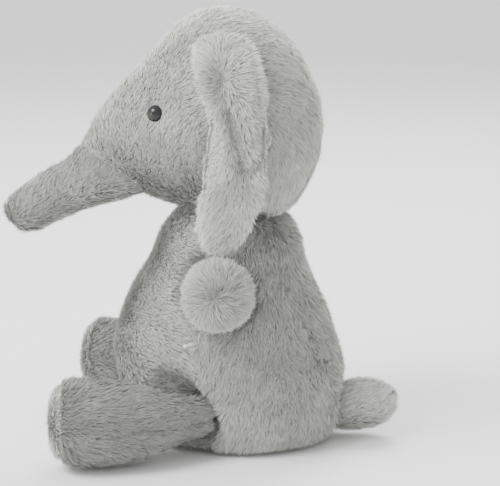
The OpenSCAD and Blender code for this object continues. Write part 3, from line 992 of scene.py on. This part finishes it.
class PLUSH_OT_head(bpy.types.Operator):
    """Make the stuffed head and the trunk, as one skin"""

    bl_idname = "plush.head"
    bl_label = "Head and Trunk"

    def execute(self, context):
        skin_set = settings("plush_skin")
        nodes = ["head_side_left", "head_side_right", "head_gusset", "chin_gusset", "nape_gusset",
                 "head_stuffing", "trunk_upper", "trunk_underside", "trunk_stuffing"]
        root = joint_at("trunk_bend")
        brow = (Vector(root + np.array([0.0, -15.0, 11.0]) * MM), Vector((18.0, 16.0, 16.0)) * MM)
        inset = shallow_at_neck(skin_set.pile_depth)
        skin = skin_from_nodes("head_backing", nodes, skin_set.voxel, inset, fillets=[brow])
        side = Pile(round_the_head, length=0.9, lift=0.42, shade=0.66, wild=0.4)
        top = Pile(round_the_head, length=0.88, lift=0.4, shade=0.72, wild=0.35)
        # The trunk's dark shade is partly painted shade, for the shade on its underside.
        trunk = Pile(towards(0.0, 0.75, 0.65), length=0.85, lift=0.42, shade=0.38, wild=0.35)
        # The head's top gets the pale pile, partly painted light from above.
        grey, pale = grey_pile(), pale_pile()
        panels = [("head_side_left", side, grey), ("head_side_right", side, grey),
                  ("head_gusset", top, pale), ("chin_gusset", side, grey), ("nape_gusset", side, grey),
                  ("trunk_upper", trunk, grey), ("trunk_underside", trunk, grey)]
        bend = across_joint("head", "trunk", root, (0.0, -2.0, 0.0), (0.0, -32.0, -10.0))
        dress(skin, "head", panels, ["head_stuffing", "trunk_stuffing"], SEEDS["head"], 0.8 * MM, 0.5,
              bend, trim=round_the_eye)
        return {"FINISHED"}


def round_the_eye(roots, normals):
    """The pile is pressed short round each eye."""
    length = np.ones(len(roots))
    for node in ("eye_left", "eye_right"):
        away = np.linalg.norm(roots - eye_centre(node), axis=1)
        length *= 0.3 + 0.7 * smoothstep(4.5 * MM, 11.0 * MM, away)
    return length


def eye_centre(node):
    """The middle of an eye's box."""
    low, high = corners_of(node)
    return 0.5 * (low + high)


class PLUSH_OT_ears(bpy.types.Operator):
    """Make the two long hanging ears"""

    bl_idname = "plush.ears"
    bl_label = "Ears"

    def execute(self, context):
        for side, word in SIDES:
            make_ear(side, word)
        return {"FINISHED"}


def make_ear(side, word):
    """One ear: a folded leaf, with a strip of its short-piled inside showing at the front."""
    skin_set = settings("plush_skin")
    nodes = [f"ear_outer_{word}", f"ear_inner_{word}"]
    skin = skin_from_nodes(f"ear_backing_{word}", nodes, 0.62 * skin_set.voxel,
                           0.6 * skin_set.pile_depth, swell=False)
    fold_ear(skin, side)
    outer = Pile(down_the_ear, length=0.85, lift=0.45, shade=0.52, wild=0.3)
    inner = Pile(down_the_ear, length=0.38, lift=0.35, shade=0.72, wild=0.15)
    # The ears get the pale pile, partly painted light from above.
    pale = pale_pile()
    root = joint_at(f"ear_{word}_flap")
    panels = [(nodes[0], outer, pale), (nodes[1], inner, pale)]
    bend = across_joint("head", f"ear_{word}", root, (0.0, 0.0, 4.0), (0.0, 0.0, -16.0))
    # The ear's pile gets painted shade along its middle and painted light at its root, tip and edges.
    dress(skin, f"ear_{word}", panels, [], side_seed("ear", side), 1.0 * MM,
          bend=bend, painted_light=ear_painted_light, claim=front_strip)


def edge_distances(points):
    """How far each point of the ear lies behind its front edge and in front of its back edge."""
    height = points[:, 2]
    levels = np.linspace(height.min(), height.max(), 20)
    reach = levels[1] - levels[0]
    near = [points[np.abs(height - level) <= reach, 1] for level in levels]
    front = np.interp(height, levels, [band.min() for band in near])
    back = np.interp(height, levels, [band.max() for band in near])
    return points[:, 1] - front, back - points[:, 1]


def ear_height(points):
    """0 at the ear's tip and 1 at its root."""
    low, high = ear_span()
    return (points[:, 2] - low[2]) / (high[2] - low[2])


def strip_width(up):
    """Width of the lens-shaped strip of the ear's inside that shows along its front edge."""
    starts, height, widest = 0.31, 0.33, 13.0 * MM
    along = np.clip((up - starts) / height, 0.0, 1.0)
    return widest * np.sqrt(np.maximum(np.sin(math.pi * along), 0.0))


def front_strip(points, owner):
    """The strip at the ear's front edge belongs to its inner face."""
    from_front, _ = edge_distances(points)
    owner[from_front < strip_width(ear_height(points))] = 1
    return owner


def ear_painted_light(roots, normals):
    """Painted light on the ear's pile: painted shade along its middle, and painted light at its root, tip
    and edges.
    """
    from_front, from_back = edge_distances(roots)
    up = ear_height(roots)
    edge = 1.0 - smoothstep(2.0 * MM, 14.0 * MM, np.minimum(from_front, from_back))
    ends = smoothstep(0.75, 0.92, up) + 1.0 - smoothstep(0.05, 0.25, up)
    return -0.16 + 0.2 * edge + 0.22 * ends


def fold_ear(skin, side):
    """Shapes the ear's outer face: a plump fold at its root, a groove, and a second layer behind."""
    fold_depth, tip_depth, groove_depth, layer_depth, strip_depth = (
        d * MM for d in (4.5, 1.5, 4.6, 2.4, 2.6))
    groove_half = 5.5 * MM
    points = mesh_points(skin.data)
    outward = np.clip(side * point_normals(skin.data)[:, 0], 0.0, 1.0)
    from_front, from_back = edge_distances(points)
    up = ear_height(points)
    plump = fold_depth * smoothstep(0.62, 0.84, up) * (1.0 - smoothstep(0.96, 1.0, up))
    plump = plump + tip_depth * (1.0 - smoothstep(0.62, 0.84, up))
    in_groove = smoothstep(0.26, 0.45, up) * (1.0 - smoothstep(0.8, 0.9, up))
    across = (points[:, 1] - groove_line(points)) / groove_half
    groove = groove_depth * in_groove * np.exp(-across**2)
    in_layer = smoothstep(0.32, 0.45, up) * (1.0 - smoothstep(0.85, 0.95, up))
    layer = layer_depth * in_layer * (1.0 - smoothstep(5.0 * MM, 9.0 * MM, from_back))
    in_strip = strip_width(up) - from_front
    strip = strip_depth * smoothstep(0.0, 3.0 * MM, in_strip)
    points[:, 0] += side * outward * (plump - groove - layer - strip)
    set_mesh_points(skin.data, relaxed(points, mesh_edges(skin.data), 1))


class PLUSH_OT_arms(bpy.types.Operator):
    """Make the two stuffed arms with their round paws"""

    bl_idname = "plush.arms"
    bl_label = "Arms"

    def execute(self, context):
        for side, word in SIDES:
            make_arm(side, word)
        return {"FINISHED"}


def make_arm(side, word):
    """One arm, out of the body at the shoulder."""
    skin_set = settings("plush_skin")
    nodes = [f"arm_upper_{word}", f"arm_lower_{word}", f"arm_stuffing_{word}"]
    skin = skin_from_nodes(f"arm_backing_{word}", nodes, 0.75 * skin_set.voxel, skin_set.pile_depth)
    low, high = corners_of(nodes[0])
    root = joint_at(f"arm_{word}_swing")
    tip = np.array([high[0] if side > 0 else low[0], root[1], root[2] + 3.0 * MM])
    pile = Pile(from_tip(tip, (side, 0.0, 0.0)), length=1.0, lift=0.5, shade=0.42, wild=0.5)
    grey = grey_pile()
    panels = [(nodes[0], pile, grey), (nodes[1], pile, grey)]
    bend = across_joint("torso", f"arm_{word}", root, (side * 2.0, 0.0, 0.0), (side * 20.0, 0.0, 0.0))
    dress(skin, f"arm_{word}", panels, [nodes[2]], side_seed("arm", side), 0.4 * MM, 0.2, bend)


class PLUSH_OT_legs(bpy.types.Operator):
    """Make the two stuffed legs with their soles"""

    bl_idname = "plush.legs"
    bl_label = "Legs"

    def execute(self, context):
        for side, word in SIDES:
            make_leg(side, word)
        return {"FINISHED"}


def make_leg(side, word):
    """One leg, from the hip."""
    skin_set = settings("plush_skin")
    nodes = [f"leg_upper_{word}", f"leg_lower_{word}", f"foot_sole_{word}", f"leg_stuffing_{word}"]
    skin = skin_from_nodes(f"leg_backing_{word}", nodes, 0.85 * skin_set.voxel, skin_set.pile_depth)
    root = joint_at(f"leg_{word}_lift")
    low, high = corners_of(nodes[2])
    tip = np.array([0.5 * (low[0] + high[0]), low[1], 0.5 * (low[2] + high[2])])
    axis = unit(tip - root)
    pile = Pile(from_tip(tip, axis, spread=0.4), length=0.9, lift=0.45, shade=0.06, wild=0.5)
    sole = Pile(from_tip(tip, axis, spread=1.0), length=0.8, lift=0.45, shade=0.5, wild=0.3)
    grey, pale = grey_pile(), pale_pile()
    panels = [(nodes[0], pile, grey), (nodes[1], pile, grey), (nodes[2], sole, pale)]
    bend = across_joint("torso", f"leg_{word}", root, axis * 2.0, axis * 26.0)
    dress(skin, f"leg_{word}", panels, [nodes[3]], side_seed("leg", side), 0.5 * MM, 0.3, bend)


class PLUSH_OT_tail(bpy.types.Operator):
    """Make the short thick tail"""

    bl_idname = "plush.tail"
    bl_label = "Tail"

    def execute(self, context):
        skin_set = settings("plush_skin")
        nodes = ["tail_upper", "tail_lower", "tail_stuffing"]
        skin = skin_from_nodes("tail_backing", nodes, 0.75 * skin_set.voxel, skin_set.pile_depth)
        # The tail's full shade is partly painted rim light.
        pile = Pile(towards(0.0, 0.8, 0.6), length=0.95, lift=0.45, shade=1.0, wild=0.35)
        grey = grey_pile()
        root = joint_at("tail_bend")
        panels = [(nodes[0], pile, grey), (nodes[1], pile, grey)]
        bend = across_joint("torso", "tail", root, (0.0, 2.0, 0.0), (0.0, 20.0, 4.0))
        dress(skin, "tail", panels, [nodes[2]], SEEDS["tail"], 0.4 * MM, 0.2, bend)
        return {"FINISHED"}


class PLUSH_OT_eyes(bpy.types.Operator):
    """Give the two plastic eyes their black gloss"""

    bl_idname = "plush.eyes"
    bl_label = "Eyes"

    def execute(self, context):
        material, nodes, links, shader = new_material("Black Eye Plastic")
        colour = settings("plush_colour").eye
        add_mottle(nodes, links, shader, colour, [1.6 * c for c in colour], 300.0)
        shader.inputs["Roughness"].default_value = 0.16
        shader.inputs["Specular IOR Level"].default_value = 0.3
        shader.inputs["Coat Weight"].default_value = 0.15
        shader.inputs["Coat Roughness"].default_value = 0.04
        for _, word in SIDES:
            set_finish(f"eye_{word}", material)
        return {"FINISHED"}


def set_finish(node, material):
    """Gives a CAD node its material."""
    mesh = frame["nodes"][node].data
    mesh.materials.clear()
    mesh.materials.append(material)


class PLUSH_OT_hidden_parts(bpy.types.Operator):
    """Finish the parts inside the toy, and the thread at its side seam"""

    bl_idname = "plush.hidden_parts"
    bl_label = "Inner Parts and Thread"

    def execute(self, context):
        colour = settings("plush_colour")
        lining = mottled_material("Neck Lining", colour.root, colour.tip, 500.0, 0.95, 0.8)
        cloth = mottled_material("Bag Cloth", (0.7, 0.69, 0.64), (0.82, 0.81, 0.77), 1200.0, 0.9, 0.5)
        washer = mottled_material("Washer Plastic", (0.7, 0.7, 0.7), (0.8, 0.8, 0.8), 200.0, 0.5)
        thread = mottled_material("Thread Plastic", (0.86, 0.86, 0.86), (0.95, 0.95, 0.95), 900.0, 0.35)
        set_finish("neck_stuffing", lining)
        set_finish("pellet_bag", cloth)
        for _, word in SIDES:
            set_finish(f"eye_washer_{word}", washer)
        set_finish("tag_thread", thread)
        return {"FINISHED"}


class PLUSH_PT_panel(bpy.types.Panel):
    """The steps that build the toy, in order"""

    bl_label = "Plush Elephant"
    bl_idname = "PLUSH_PT_panel"
    bl_space_type = "VIEW_3D"
    bl_region_type = "UI"
    bl_category = "Plush"

    def draw(self, context):
        for operator in OPERATORS:
            self.layout.operator(operator.bl_idname)


OPERATORS = (
    PLUSH_OT_stage,
    PLUSH_OT_body,
    PLUSH_OT_head,
    PLUSH_OT_ears,
    PLUSH_OT_arms,
    PLUSH_OT_legs,
    PLUSH_OT_tail,
    PLUSH_OT_eyes,
    PLUSH_OT_hidden_parts,
)


def register():
    """Adds the settings, operators and panel."""
    for name, group in SETTINGS.items():
        bpy.utils.register_class(group)
        setattr(bpy.types.Scene, name, bpy.props.PointerProperty(type=group))
    for cls in OPERATORS + (PLUSH_PT_panel,):
        bpy.utils.register_class(cls)


def unregister():
    """Takes the settings, operators and panel away again."""
    for cls in reversed(OPERATORS + (PLUSH_PT_panel,)):
        bpy.utils.unregister_class(cls)
    for name, group in SETTINGS.items():
        delattr(bpy.types.Scene, name)
        bpy.utils.unregister_class(group)


def main():
    """Builds the whole toy."""
    register()
    for operator in OPERATORS:
        group, name = operator.bl_idname.split(".")
        result = getattr(getattr(bpy.ops, group), name)()
        if result != {"FINISHED"}:
            raise RuntimeError(f"{operator.bl_label} did not finish")
    bpy.context.view_layer.update()


if __name__ == "__main__":
    main()
